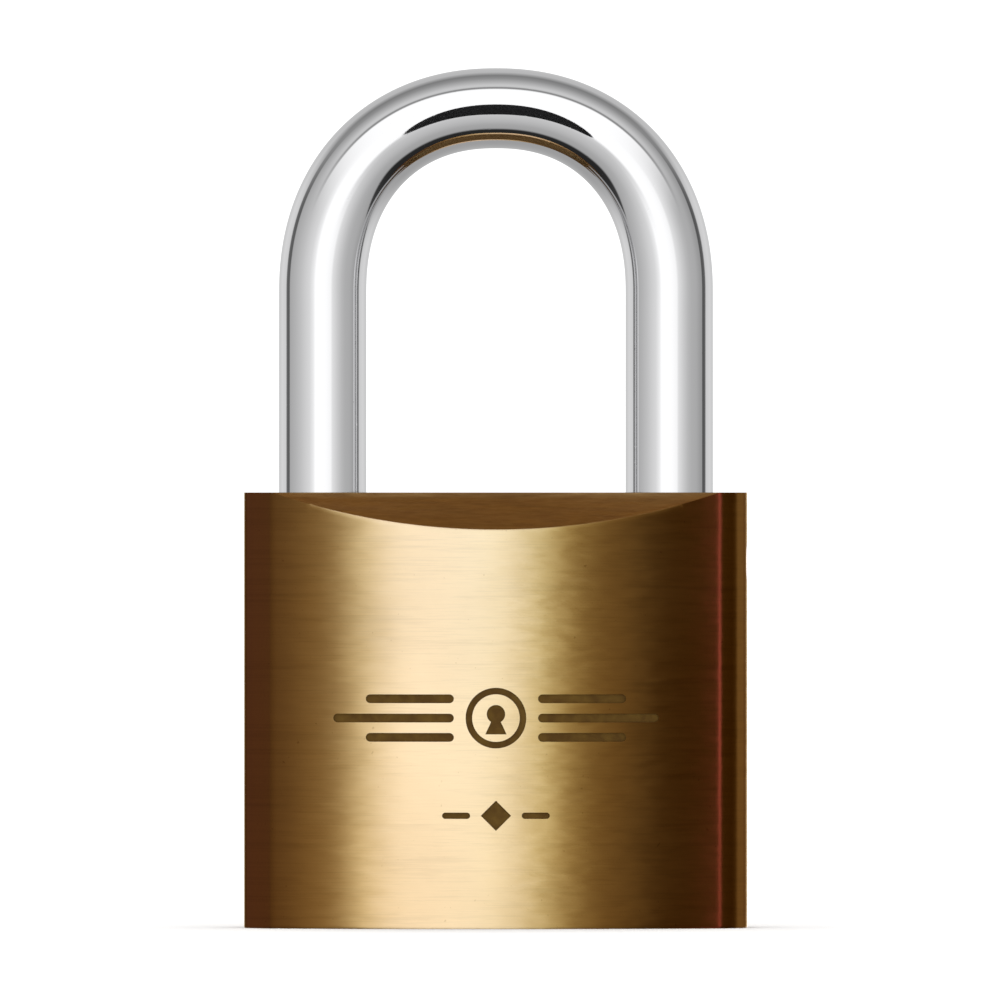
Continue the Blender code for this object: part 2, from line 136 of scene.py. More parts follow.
def addMix(tree, factor, first, second, blend="MIX"):
    node = addNode(tree, "ShaderNodeMix", data_type="RGBA", blend_type=blend)
    colours = [socket for socket in node.inputs if socket.type == "RGBA"]
    for socket, value in zip([node.inputs[0], *colours], (factor, first, second)):
        if isinstance(value, bpy.types.NodeSocket):
            tree.links.new(value, socket)
        else:
            socket.default_value = value
    return [socket for socket in node.outputs if socket.type == "RGBA"][0]


def makeGrainGroup():
    # fine scratches that run one way: the vector is squeezed across them and drawn out along them
    inputs = [
        ("Vector", "NodeSocketVector", None),
        ("Along", "NodeSocketFloat", 200.0),
        ("Across", "NodeSocketFloat", 7000.0),
    ]
    group, source, target = newGroup("brushedGrain", inputs, ["Height", "Waves", "Streaks"])
    parts = addNode(group, "ShaderNodeSeparateXYZ", {0: source.outputs["Vector"]})
    around = addMath(group, "ADD", parts.outputs["X"], parts.outputs["Y"])
    lengthwise = addMath(group, "MULTIPLY", around, source.outputs["Along"])
    crosswise = addMath(group, "MULTIPLY", parts.outputs["Z"], source.outputs["Across"])
    squeezed = addNode(group, "ShaderNodeCombineXYZ", {"X": lengthwise, "Z": crosswise}).outputs[0]
    fine = addNoise(group, squeezed, 1.0, 3.0, Roughness=0.65)
    shifted = addMapping(group, squeezed, Location=(5.0, 3.0, 9.0), Scale=(0.35, 1.0, 0.22))
    broad = addNoise(group, shifted, 1.0, 2.0)
    streaks = addMath(group, "MULTIPLY", fine, broad)
    lifted = addMath(group, "MULTIPLY_ADD", streaks, 2.2, -0.05, clamp=True)
    rolling = addMapping(group, squeezed, Location=(2.0, 7.0, 4.0), Scale=(0.9, 1.0, 0.17))
    group.links.new(fine, target.inputs["Height"])
    group.links.new(addNoise(group, rolling, 1.0, 1.0), target.inputs["Waves"])
    group.links.new(lifted, target.inputs["Streaks"])
    return group


def makeHandlingGroup():
    # cloudy dulling from fingers, and small dark specks of tarnish
    inputs = [("Vector", "NodeSocketVector", None), ("Size", "NodeSocketFloat", 120.0)]
    group, source, target = newGroup("handlingMarks", inputs, ["Cloud", "Specks"])
    place, size = source.outputs["Vector"], source.outputs["Size"]
    cloud = addNoise(group, place, size, 5.0, Distortion=0.4)
    speck = addNoise(group, place, addMath(group, "MULTIPLY", size, 36.0), 1.0)
    group.links.new(addRange(group, cloud, 0.35, 0.7), target.inputs["Cloud"])
    group.links.new(addRange(group, speck, 0.74, 0.82), target.inputs["Specks"])
    return group


def makeTurningGroup():
    # the fine rings that a lathe leaves about the piece's own axis; the vector's Z is that axis
    inputs = [("Vector", "NodeSocketVector", None), ("Rings", "NodeSocketFloat", 9000.0)]
    group, source, target = newGroup("turningMarks", inputs, ["Height"])
    parts = addNode(group, "ShaderNodeSeparateXYZ", {0: source.outputs["Vector"]})
    flat = addNode(group, "ShaderNodeCombineXYZ", {"X": parts.outputs["X"], "Y": parts.outputs["Y"]})
    radius = addNode(group, "ShaderNodeVectorMath", {0: flat.outputs[0]}, operation="LENGTH").outputs["Value"]
    reach = addMath(group, "ADD", radius, parts.outputs["Z"])
    scaled = addMath(group, "MULTIPLY", reach, source.outputs["Rings"])
    lined = addNode(group, "ShaderNodeCombineXYZ", {"X": scaled}).outputs[0]
    group.links.new(addNoise(group, lined, 1.0, 2.0), target.inputs["Height"])
    return group


brushedGrain = makeGrainGroup()
handlingMarks = makeHandlingGroup()
turningMarks = makeTurningGroup()


def newMetal(name, colour, roughness, **fixed):
    material = bpy.data.materials.new(name)
    material.use_nodes = True
    tree = material.node_tree
    shader = tree.nodes["Principled BSDF"]
    shader.inputs["Base Color"].default_value = (*colour, 1.0)
    shader.inputs["Metallic"].default_value = 1.0
    shader.inputs["Roughness"].default_value = roughness
    for socketName, value in fixed.items():
        shader.inputs[socketName.replace("_", " ")].default_value = value
    place = addNode(tree, "ShaderNodeTexCoord").outputs["Object"]
    return material, tree, shader, place


def useGroup(tree, group, **values):
    node = addNode(tree, "ShaderNodeGroup", node_tree=group)
    for socketName, value in values.items():
        if isinstance(value, bpy.types.NodeSocket):
            tree.links.new(value, node.inputs[socketName])
        else:
            node.inputs[socketName].default_value = value
    return node


def bumpFrom(tree, shader, height, distance):
    bump = addNode(tree, "ShaderNodeBump", {"Height": height, "Distance": distance * mm, "Strength": 1.0})
    tree.links.new(bump.outputs[0], shader.inputs["Normal"])


def shaded(tone, share):
    return tuple(share * value for value in tone)


def tarnish(tree, shader, place, size, dark, light):
    # clouds of tone over the base colour
    cloud = useGroup(tree, handlingMarks, Vector=place, Size=size).outputs["Cloud"]
    tree.links.new(addRamp(tree, cloud, [(0.0, dark), (1.0, light)]), shader.inputs["Base Color"])
    return cloud


brassFinish = {
    "colour": (0.82, 0.65, 0.36),
    "paintedWarmLightColour": (0.80, 0.56, 0.25),  # painted warm light: the colour it turns to towards the foot
    "speckColour": (0.30, 0.17, 0.06),
    "roughness": 0.30,
    "anisotropy": 1.0,
    "grain": (260.0, 6500.0),  # along and across
    "cloudSize": 70.0,
    "warmStart": 0.036,  # metres above the base
    "warmEnd": 0.002,
    "warmShare": 0.55,
    "scratchDepth": 0.0016,  # mm
    "waveShare": 20.0,  # slow waves along the grain, in scratch depths
}


def makeBrushedBrass():
    look = brassFinish
    turning = {"Anisotropic": look["anisotropy"], "Anisotropic_Rotation": 0.25}
    material, tree, shader, place = newMetal("brushedBrass", look["colour"], look["roughness"], **turning)
    along, across = look["grain"]
    grain = useGroup(tree, brushedGrain, Vector=place, Along=along, Across=across)
    marks = useGroup(tree, handlingMarks, Vector=place, Size=look["cloudSize"])
    # painted light: the base colour turns warmer and darker towards the foot, as a warm fill from below would
    # tint it
    height = addNode(tree, "ShaderNodeSeparateXYZ", {0: place}).outputs["Z"]
    lower = addRange(tree, height, look["warmStart"], look["warmEnd"], 0.0, look["warmShare"])
    withPaintedWarmLight = addMix(tree, lower, (*look["colour"], 1.0), (*look["paintedWarmLightColour"], 1.0))
    streaked = addRamp(tree, grain.outputs["Streaks"], [(0.0, 0.76), (0.5, 0.95), (1.0, 1.0)])
    tinted = addMix(tree, 1.0, withPaintedWarmLight, streaked, "MULTIPLY")
    spotted = addMath(tree, "MULTIPLY", marks.outputs["Specks"], 0.35)
    colour = addMix(tree, spotted, tinted, (*look["speckColour"], 1.0))
    tree.links.new(colour, shader.inputs["Base Color"])
    dulled = addMath(tree, "MULTIPLY_ADD", marks.outputs["Cloud"], 0.05, look["roughness"] - 0.02)
    varied = addMath(tree, "MULTIPLY_ADD", grain.outputs["Streaks"], 0.05, dulled)
    tree.links.new(varied, shader.inputs["Roughness"])
    tangent = addNode(tree, "ShaderNodeTangent", direction_type="RADIAL", axis="Z")
    tree.links.new(tangent.outputs[0], shader.inputs["Tangent"])
    relief = addMath(tree, "MULTIPLY_ADD", grain.outputs["Waves"], look["waveShare"], grain.outputs["Height"])
    bumpFrom(tree, shader, relief, look["scratchDepth"])
    return material


cutFinish = {
    "colour": (0.62, 0.41, 0.18),
    "tones": [(0.34, (0.52, 0.325, 0.132)), (0.50, (0.61, 0.40, 0.172)), (0.66, (0.69, 0.475, 0.217))],
    "stretch": (0.38, 2.4, 2.4),
    "streakSize": 900.0,
    "lineTilt": 30,  # degrees
    "lines": (420.0, 4200.0),  # along and across
    "depth": 0.004,
}
cutFaces = {  # share of the tones, roughness where dullest and where sharpest, metallic
    "milledBrass": (1.0, 0.42, 0.30, 1.0),
    # painted shade: the flat top and base take the milled brass at half its tones, a shaded copy of it
    "shadedFlatBrass": (0.50, 0.54, 0.44, 0.85),
}


def makeCutBrass(name, shade, dullest, sharpest, metallic):
    # a milled face: fine tool lines along the case, and faint streaks of tarnish; a shade below one darkens
    # all its tones, which is painted shade
    look = cutFinish
    material, tree, shader, place = newMetal(name, look["colour"], dullest, Metallic=metallic)
    tilted = addMapping(tree, place, Rotation=(math.radians(look["lineTilt"]), 0, 0))
    along, across = look["lines"]
    grain = useGroup(tree, brushedGrain, Vector=tilted, Along=along, Across=across)
    stretched = addMapping(tree, place, Scale=look["stretch"])
    patches = addNoise(tree, stretched, look["streakSize"], 5.0, Roughness=0.6)
    mottled = addRamp(tree, patches, [(position, shaded(tone, shade)) for position, tone in look["tones"]])
    lined = addRamp(tree, grain.outputs["Streaks"], [(0.0, 0.80), (0.6, 1.0)])
    tree.links.new(addMix(tree, 1.0, mottled, lined, "MULTIPLY"), shader.inputs["Base Color"])
    tree.links.new(addRange(tree, patches, 0.3, 0.7, dullest, sharpest), shader.inputs["Roughness"])
    relief = addMath(tree, "MULTIPLY_ADD", grain.outputs["Waves"], 4.0, grain.outputs["Height"])
    bumpFrom(tree, shader, relief, look["depth"])
    return material


def makeBoredBrass():
    # inside of the drilled holes
    material, tree, shader, place = newMetal("boredBrass", (0.70, 0.50, 0.24), 0.40)
    tarnish(tree, shader, place, 300.0, (0.62, 0.43, 0.19), (0.74, 0.55, 0.28))
    rings = useGroup(tree, turningMarks, Vector=place, Rings=5000.0)
    bumpFrom(tree, shader, rings.outputs["Height"], 0.006)
    return material


def makeEtchedBrass():
    # dark, matt floor of the engraved marks
    matt = {"Metallic": 0.35, "Specular_IOR_Level": 0.12}
    material, tree, shader, place = newMetal("etchedBrass", (0.16, 0.105, 0.030), 0.55, **matt)
    cloud = tarnish(tree, shader, place, 900.0, (0.075, 0.038, 0.006), (0.110, 0.062, 0.010))
    bumpFrom(tree, shader, cloud, 0.010)
    return material


def makeTurnedBrass():
    # plug, with the lathe's rings
    material, tree, shader, place = newMetal("turnedBrass", (0.84, 0.66, 0.35), 0.22)
    cloud = tarnish(tree, shader, place, 260.0, (0.76, 0.56, 0.27), (0.86, 0.69, 0.38))
    tree.links.new(addMath(tree, "MULTIPLY_ADD", cloud, 0.10, 0.18), shader.inputs["Roughness"])
    rings = useGroup(tree, turningMarks, Vector=place, Rings=7000.0)
    bumpFrom(tree, shader, rings.outputs["Height"], 0.004)
    return material


chromeFinish = {"colour": (0.66, 0.66, 0.667), "roughness": 0.035, "ripple": 0.006}


def makeChrome():
    look = chromeFinish
    material, tree, shader, place = newMetal("polishedChrome", look["colour"], look["roughness"])
    ripple = addNoise(tree, place, 180.0, 2.0)
    dots = addRange(tree, addNoise(tree, place, 2600.0, 1.0), 0.66, 0.80)
    marks = useGroup(tree, handlingMarks, Vector=place, Size=110.0)
    rough = addMath(tree, "MULTIPLY_ADD", marks.outputs["Cloud"], 0.025, look["roughness"] - 0.01)
    tree.links.new(rough, shader.inputs["Roughness"])
    bumpFrom(tree, shader, addMath(tree, "MULTIPLY_ADD", dots, -0.12, ripple), look["ripple"])
    return material


groundMetals = {  # colour and roughness
    "pinBrass": ((0.83, 0.65, 0.34), 0.22),
    "ballSteel": ((0.56, 0.56, 0.575), 0.12),
    "groundSteel": ((0.47, 0.47, 0.485), 0.26),
    "springSteel": ((0.39, 0.395, 0.415), 0.30),
}


def makeGroundMetal(name, colour, roughness):
    material, tree, shader, place = newMetal(name, colour, roughness)
    tarnish(tree, shader, place, 350.0, shaded(colour, 0.86), colour)
    grain = addNoise(tree, place, 1800.0, 3.0)
    rough = addMath(tree, "MULTIPLY_ADD", grain, 0.12, roughness - 0.06)
    tree.links.new(rough, shader.inputs["Roughness"])
    bumpFrom(tree, shader, grain, 0.004)
    return material


brushedBrass = makeBrushedBrass()
milledBrass, shadedFlatBrass = (makeCutBrass(name, *look) for name, look in cutFaces.items())
boredBrass = makeBoredBrass()
etchedBrass = makeEtchedBrass()
turnedBrass = makeTurnedBrass()
polishedChrome = makeChrome()
pinBrass, ballSteel, groundSteel, springSteel = (
    makeGroundMetal(name, *look) for name, look in groundMetals.items()
)
print("materials made")


def vertsOf(made):
    return [part for part in made if isinstance(part, bmesh.types.BMVert)]


def edgesOf(made):
    return [part for part in made if isinstance(part, bmesh.types.BMEdge)]


def traceOutline(shape, start, moves):
    # a flat closed outline in XY: each move turns the last point about a centre, or takes it straight on
    first = point = shape.verts.new((*start, 0.0))
    for move in moves:
        if "centre" in move:
            turn = {"cent": (*move["centre"], 0.0), "axis": (0, 0, 1), "angle": math.radians(move["turn"])}
            made = bmesh.ops.spin(shape, geom=[point], steps=move["steps"], **turn)
            point = vertsOf(made["geom_last"])[0]
        else:
            made = bmesh.ops.extrude_vert_indiv(shape, verts=[point])
            point = made["verts"][0]
            point.co = (*move["to"], 0.0)
    if (point.co - first.co).length > 1e-3:
        shape.edges.new((point, first))
    bmesh.ops.remove_doubles(shape, verts=shape.verts, dist=1e-4)
    return bmesh.ops.edgeloop_fill(shape, edges=shape.edges[:])["faces"][0]


def raiseOutline(shape, face, low, high):
    bmesh.ops.translate(shape, verts=face.verts[:], vec=(0, 0, low))
    made = bmesh.ops.extrude_face_region(shape, geom=[face])
    bmesh.ops.translate(shape, verts=vertsOf(made["geom"]), vec=(0, 0, high - low))
    return shape


def prism(start, moves, low, high):
    shape = bmesh.new()
    return raiseOutline(shape, traceOutline(shape, start, moves), low, high)


def block(length, width, low, high):
    x, y = length / 2, width / 2
    return prism((-x, -y), [{"to": (x, -y)}, {"to": (x, y)}, {"to": (-x, y)}], low, high)


def spinRound(shape, section, steps):
    turn = {"cent": (0, 0, 0), "axis": (0, 0, 1), "angle": 2 * math.pi}
    bmesh.ops.spin(shape, geom=section, steps=steps, use_merge=True, **turn)
    bmesh.ops.remove_doubles(shape, verts=shape.verts, dist=1e-5)
    return shape


def turned(profile, steps):
    # a solid turned about +Z, from (radius, height) stations; the ends close on the axis
    shape = bmesh.new()
    stations = [(0.0, profile[0][1]), *profile, (0.0, profile[-1][1])]
    points = [shape.verts.new((radius, 0.0, height)) for radius, height in stations]
    lines = [shape.edges.new(pair) for pair in zip(points, points[1:])]
    return spinRound(shape, points + lines, steps)


def turnedRing(inner, outer, low, high, steps):
    shape = bmesh.new()
    corners = [(inner, low), (outer, low), (outer, high), (inner, high)]
    points = [shape.verts.new((radius, 0.0, height)) for radius, height in corners]
    walls = [shape.edges.new(pair) for pair in zip(points, points[1:] + points[:1])]
    return spinRound(shape, points + walls, steps)


def drill(radius, mouth, floor, flare=0.15, steps=64):
    # a hole's cutter with a small countersink at its mouth
    outward = math.copysign(1.0, mouth - floor)
    profile = [
        (radius, floor),
        (radius, mouth - outward * flare),
        (radius + flare, mouth),
        (radius + flare + 1.0, mouth + outward),
    ]
    return turned(profile, steps)


def placed(shape, turn=upright, at=(0.0, 0.0, 0.0)):
    bmesh.ops.transform(shape, matrix=Matrix.Translation(at) @ turn, verts=shape.verts)
    return shape


def addObject(name, data):
    made = bpy.data.objects.new(name, data)
    bpy.context.scene.collection.objects.link(made)
    return made


def roughOut(name, shape, *materials):
    # a piece as drawn, in the shape's own units
    bmesh.ops.recalc_face_normals(shape, faces=shape.faces)
    mesh = bpy.data.meshes.new(name)
    shape.to_mesh(mesh)
    shape.free()
    for material in materials:
        mesh.materials.append(material)
    return addObject(name, mesh)


def change(piece, shape, operation, *materials):
    # cuts, joins or trims a piece with a shape, which leaves its own material on the faces it makes
    tool = roughOut(piece.name + "Tool", shape, *materials)
    step = piece.modifiers.new("step", "BOOLEAN")
    step.operation = operation
    step.solver = "EXACT"
    step.material_mode = "TRANSFER"
    step.object = tool
    graph = bpy.context.evaluated_depsgraph_get()
    mesh = bpy.data.meshes.new_from_object(piece.evaluated_get(graph), depsgraph=graph)
    piece.modifiers.clear()
    piece.data = mesh
    bpy.data.objects.remove(tool)


def cut(piece, shape, *materials):
    change(piece, shape, "DIFFERENCE", *materials)


def rounded(shape, edges, width):
    bmesh.ops.bevel(shape, geom=edges, offset=width, segments=2, profile=0.5, affect="EDGES", material=-1)


def toMetres(piece, sharpFrom):
    # smooth shaded, but for edges that turn by more than sharpFrom degrees
    piece.data.transform(Matrix.Scale(mm, 4))
    piece.data.shade_smooth()
    piece.data.set_sharp_from_angle(angle=math.radians(sharpFrom))


def finishPiece(piece, body, slot, *stands):
    toMetres(piece, 30)
    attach(piece, body)
    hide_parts(*stands)
    return piece


brassPieces = []
steelPieces = []

shackleLow, shackleHigh = boxOf("shackle")
barRadius = shackleHigh.y
legX = shackleHigh.x - barRadius

case = {
    "faceRadius": 62.0,
    "cornerRadius": 4.0,
    "chamferDrop": 3.3,
    "chamferRun": 3.3,
    "edge": 0.10,
    "softFrom": 25,  # degrees
    "softReach": 16.5,  # along the top, to either side of the middle
    "guides": (0.3, 0.6),
    "faceSteps": 150,
    "cornerSteps": 20,
    "runningGap": 0.1,
    "pressGap": 0.05,
    "springSpare": 0.1,  # under the shackle's spring
    "toeFloor": 25.9,
    "plugSpare": 0.3,  # over the actuator
    "plugMouth": 0.2,
    "smallMouth": 0.05,
}
bodyLow, bodyHigh = boxOf("body")
halfWidth = bodyHigh.x
halfDepth = bodyHigh.y
caseTop = bodyHigh.z


def caseOutline(inset=0.0):
    # start point and moves of the case seen from above, every wall moved in by inset
    radius = case["faceRadius"]
    corner = case["cornerRadius"]
    faceCentre = radius - halfDepth  # in front of or behind the middle
    cornerX = halfWidth - corner
    meeting = math.asin(cornerX / (radius - corner))
    cornerY = (radius - corner) * math.cos(meeting) - faceCentre
    reach = radius - inset
    turn = math.degrees(meeting)
    side = halfWidth - inset
    face = {"turn": 2 * turn, "steps": case["faceSteps"]}
    bend = {"turn": 90 - turn, "steps": case["cornerSteps"]}
    start = (-reach * math.sin(meeting), faceCentre - reach * math.cos(meeting))
    moves = [
        {"centre": (0.0, faceCentre), **face},
        {"centre": (cornerX, -cornerY), **bend},
        {"to": (side, cornerY)},
        {"centre": (cornerX, cornerY), **bend},
        {"centre": (0.0, -faceCentre), **face},
        {"centre": (-cornerX, cornerY), **bend},
        {"to": (-side, -cornerY)},
        {"centre": (-cornerX, -cornerY), **bend},
    ]
    return start, moves


def chamferTop(shape):
    for side in (-1, 1):
        edge = Vector((0, side * (halfDepth - case["chamferRun"]), caseTop))
        outward = Vector((0, side * case["chamferDrop"], case["chamferRun"])).normalized()
        everything = shape.verts[:] + shape.edges[:] + shape.faces[:]
        bmesh.ops.bisect_plane(shape, geom=everything, plane_co=edge, plane_no=outward, clear_outer=True)
        rim = [line for line in shape.edges if line.is_boundary]
        made = bmesh.ops.holes_fill(shape, edges=rim)
        for face in made["faces"]:
            face.material_index = 1
    shape.normal_update()
    # the flat top and base take the shaded copy of the milled brass, their painted shade
    for face in shape.faces:
        if abs(face.normal.z) > 0.9:
            face.material_index = 2


def softenCase(shape):
    # the base's rim and the long edges of the top; the crescents' thin tips stay as cut
    rim = []
    for line in shape.edges:
        middle = (line.verts[0].co + line.verts[1].co) / 2
        within = middle.z < 1.0 or abs(middle.x) < case["softReach"]
        if within and line.calc_face_angle(0.0) > math.radians(case["softFrom"]):
            rim.append(line)
    rounded(shape, rim, case["edge"])
    # lines just inside the rounded edges keep the shading of the long faces even
    guides = []
    for inset in case["guides"]:
        guides.append((Vector((0, 0, inset)), Vector((0, 0, 1))))
        for side in (-1, 1):
            across = Vector((0, side * case["chamferDrop"], case["chamferRun"])).normalized()
            along = Vector((0, side * (halfDepth - case["chamferRun"]), caseTop))
            guides.append((along - across * inset, across))
    for point, across in guides:
        everything = shape.verts[:] + shape.edges[:] + shape.faces[:]
        bmesh.ops.bisect_plane(shape, geom=everything, plane_co=point, plane_no=across)


motif = {
    "height": 18.8,
    "depth": 0.14,
    "ringOuter": 2.7,
    "ringInner": 2.12,
    "keyholeRadius": 0.82,
    "keyholeFoot": 0.95,
    "keyholeDrop": 1.45,
    "keyholeLift": 0.35,
    "neckAngle": 32,  # degrees to either side
    "barHeight": 0.78,
    "barPitch": 1.72,
    "barStart": 3.75,
    "barEnds": (11.6, 14.5, 11.6),
    "lowerHeight": 10.1,
    "diamond": 1.35,
    "dashStart": 2.3,
    "dashEnd": 4.8,
    "dashHeight": 0.56,
}


def roundedBar(start, end, height, thick):
    half = thick / 2
    left, right = min(start, end) + half, max(start, end) - half
    moves = [
        {"to": (right, height - half)},
        {"centre": (right, height), "turn": 180, "steps": 12},
        {"to": (left, height + half)},
        {"centre": (left, height), "turn": 180, "steps": 12},
    ]
    return prism((left, height - half), moves, 0.0, 2 * halfDepth)


def keyholeShape(height):
    radius = motif["keyholeRadius"]
    foot = motif["keyholeFoot"]
    bottom = height - motif["keyholeDrop"]
    start = (-foot, bottom)
    neck = math.radians(motif["neckAngle"])
    centre = height + motif["keyholeLift"]
    meet = (radius * math.sin(neck), centre - radius * math.cos(neck))
    moves = [
        {"to": (foot, bottom)},
        {"to": meet},
        {"centre": (0.0, centre), "turn": 360 - 2 * motif["neckAngle"], "steps": 32},
    ]
    return prism(start, moves, 0.0, 2 * halfDepth)


def diamondShape(height):
    size = motif["diamond"]
    moves = [{"to": (size, height)}, {"to": (0.0, height + size)}, {"to": (-size, height)}]
    return prism((0.0, height - size), moves, 0.0, 2 * halfDepth)


def engrave(piece, shape):
    # sinks a flat figure into the crowned front, to an even depth
    figure = roughOut("figure", placed(shape, facingFront), etchedBrass)
    start, moves = caseOutline(motif["depth"])
    cut(figure, prism(start, moves, -5.0, caseTop + 5.0), etchedBrass)
    sunk = bmesh.new()
    sunk.from_mesh(figure.data)
    bpy.data.objects.remove(figure)
    cut(piece, sunk, etchedBrass)


def engraveMotif(piece):
    height = motif["height"]
    ring = turnedRing(motif["ringInner"], motif["ringOuter"], 0.0, 2 * halfDepth, 72)
    engrave(piece, placed(ring, at=(0, height, 0)))
    engrave(piece, keyholeShape(height))
    lower = motif["lowerHeight"]
    for side in (-1, 1):
        for row, end in zip((-1, 0, 1), motif["barEnds"]):
            level = height + row * motif["barPitch"]
            engrave(piece, roundedBar(side * motif["barStart"], side * end, level, motif["barHeight"]))
        start, end = side * motif["dashStart"], side * motif["dashEnd"]
        engrave(piece, roundedBar(start, end, lower, motif["dashHeight"]))
    engrave(piece, diamondShape(lower))


def makeCase():
    start, moves = caseOutline()
    shape = prism(start, moves, 0.0, caseTop)
    chamferTop(shape)
    softenCase(shape)
    piece = roughOut("case", shape, brushedBrass, milledBrass, shadedFlatBrass)
    gap = case["runningGap"]
    mouth = case["smallMouth"]
    heelFloor = boxOf("shackle_spring")[0].z - case["springSpare"]
    for x, floor in ((-legX, heelFloor), (legX, case["toeFloor"])):
        cut(piece, placed(drill(barRadius + gap, caseTop, floor), at=(x, 0, 0)), boredBrass)
    plugRadius = boxOf("plug")[1].x
    boreTop = boxOf("actuator")[1].z + case["plugSpare"]
    cut(piece, drill(plugRadius + gap, 0.0, boreTop, case["plugMouth"], 96), boredBrass)
    low, high = boxOf("ball_toe")
    ballHole = drill((high.z - low.z) / 2 + gap, halfWidth, -legX, mouth)
    cut(piece, placed(ballHole, alongX, (0, 0, middleOf("ball_toe").z)), boredBrass)
    for number in range(1, 6):
        low, high = boxOf(f"driver_pin_{number}")
        chamber = drill((high.z - low.z) / 2 + gap, halfWidth, 0.0, mouth, 40)
        cut(piece, placed(chamber, alongX, (0, 0, (low.z + high.z) / 2)), boredBrass)
    for node in ("shackle_retaining_pin", "plug_retaining_pin"):
        low, high = boxOf(node)
        centre = (low + high) / 2
        hole = drill((high.x - low.x) / 2 + case["pressGap"], high.y, low.y - gap, mouth, 40)
        cut(piece, placed(hole, alongY, (centre.x, 0, centre.z)), boredBrass)
    engraveMotif(piece)
    finishPiece(piece, "case", "brushed_brass", "body")
    brassPieces.append(piece)
    print("case made,", len(piece.data.polygons), "faces")


makeCase()


shackleSizes = {
    "crownThinning": 0.32,
    "bowRise": 16.5,
    "squareness": 2.2,
    "toeTipChamfer": 0.8,
    "heelTipChamfer": 0.5,
    "heelFoot": 2.3,
    "neckRadius": 2.45,
    "edge": 0.1,
    "seatDepth": 1.0,
    "seatSlope": 0.32,
    "ballTravel": 4.0,
    "ringSegments": 72,
    "bowSteps": 120,
    "legRings": (4.0, 1.0),  # below the start of the bow
}


def barFrame(centre, outward, radius, flatRadius):
    # places a unit circle as a section of the bar: its X across the bow's plane, its Y towards the front
    along = outward.cross(Vector((0, -1, 0)))
    columns = (outward * flatRadius, Vector((0, -radius, 0)), along)
    turn = Matrix([[column[row] for column in columns] for row in range(3)]).to_4x4()
    return Matrix.Translation(centre) @ turn


def bowStations():
    rise, steps = shackleSizes["bowRise"], shackleSizes["bowSteps"]
    thinning, squareness = shackleSizes["crownThinning"], shackleSizes["squareness"]
    springline = shackleHigh.z - (barRadius - thinning) - rise
    stations = []
    for step in range(steps + 1):
        angle = math.pi * step / steps
        x = -math.copysign(abs(math.cos(angle)) ** (2 / squareness), math.cos(angle))
        z = math.sin(angle) ** (2 / squareness)
        outX = math.copysign(abs(x) ** (squareness - 1), x) / legX
        outZ = z ** (squareness - 1) / rise
        flat = barRadius - thinning * math.sin(angle) ** 2
        centre = Vector((legX * x, 0, springline + rise * z))
        stations.append(barFrame(centre, Vector((outX, 0, outZ)).normalized(), barRadius, flat))
    return stations


def legStations(x, sections):
    outward = Vector((math.copysign(1.0, x), 0, 0))
    return [barFrame(Vector((x, 0, height)), outward, radius, radius) for radius, height in sections]


def sweepBar(stations, segments):
    shape = bmesh.new()
    bmesh.ops.create_circle(shape, cap_ends=True, segments=segments, radius=1.0)
    bmesh.ops.transform(shape, matrix=stations[0], verts=shape.verts)
    loop = shape.edges[:]
    for here, there in zip(stations, stations[1:]):
        made = bmesh.ops.extrude_edge_only(shape, edges=loop)["geom"]
        bmesh.ops.transform(shape, matrix=there @ here.inverted(), verts=vertsOf(made))
        loop = [line for line in edgesOf(made) if line.is_boundary]
    bmesh.ops.edgeloop_fill(shape, edges=loop)
    return shape


def makeShackle():
    seat = middleOf("ball_toe")
    ballRadius = boxOf("ball_toe")[1].z - seat.z
    keepOff = ballRadius + case["runningGap"]
    heelTip = shackleLow.z
    neckBottom = heelTip + shackleSizes["heelFoot"]
    neckTop = boxOf("shackle_retaining_pin")[1].z + 2 * case["runningGap"]
    neck, edge = shackleSizes["neckRadius"], shackleSizes["edge"]
    heelSlope, tip = shackleSizes["heelTipChamfer"], shackleSizes["toeTipChamfer"]
    bow = bowStations()
    rings = [(barRadius, bow[0].translation.z - below) for below in shackleSizes["legRings"]]
    heel = [
        (barRadius - heelSlope, heelTip),
        (barRadius, heelTip + heelSlope),
        (barRadius, neckBottom - edge),
        (barRadius - edge, neckBottom),
        (neck, neckBottom),
        (neck, neckTop),
        (barRadius - edge, neckTop),
        (barRadius, neckTop + edge),
        (barRadius, caseTop),
        *rings,
    ]
    toe = [
        *rings[::-1],
        (barRadius, caseTop),
        (barRadius, neckTop + edge),
        (barRadius, neckTop),
        (barRadius - tip, neckTop - tip),
    ]
    stations = legStations(-legX, heel) + bow + legStations(legX, toe)
    piece = roughOut("shackleBar", sweepBar(stations, shackleSizes["ringSegments"]), polishedChrome)
    # the balls' seats, each with a ramp that lets the ball draw in as the bar rises
    slope = shackleSizes["seatSlope"]
    tilt = math.atan(slope)
    aside = keepOff * math.hypot(1, slope)
    low = -((aside - ballRadius + shackleSizes["seatDepth"]) / slope + ballRadius / 2)
    foot = aside + slope * low
    for node, side in (("ball_heel", -1), ("ball_toe", 1)):
        centre = middleOf(node)
        start = (side * foot, low)
        moves = [
            {"to": (side * keepOff * math.cos(tilt), -keepOff * math.sin(tilt))},
            {"centre": (0.0, 0.0), "turn": side * (90 + math.degrees(tilt)), "steps": 32},
            {"to": (-side * ballRadius, keepOff)},
            {"to": (-side * ballRadius, low)},
        ]
        seatShape = prism(start, moves, -2 * barRadius, 2 * barRadius)
        cut(piece, placed(seatShape, facingFront, (centre.x, 0, centre.z)), polishedChrome)
    finishPiece(piece, "shackle", "chrome", "shackle")
    steelPieces.append(piece)
    print("shackle made,", len(piece.data.polygons), "faces")


makeShackle()


# radius to the middle of the wire, and the wire's own radius
shackleSpring = {"radius": 3.25, "wire": 0.35, "turns": 6, "rounds": 32, "wireSides": 14}
driverSpring = {"radius": 1.14, "wire": 0.16, "turns": 8, "rounds": 24, "wireSides": 10}
closedPitch = 2.04  # of the end turns, in wire radii


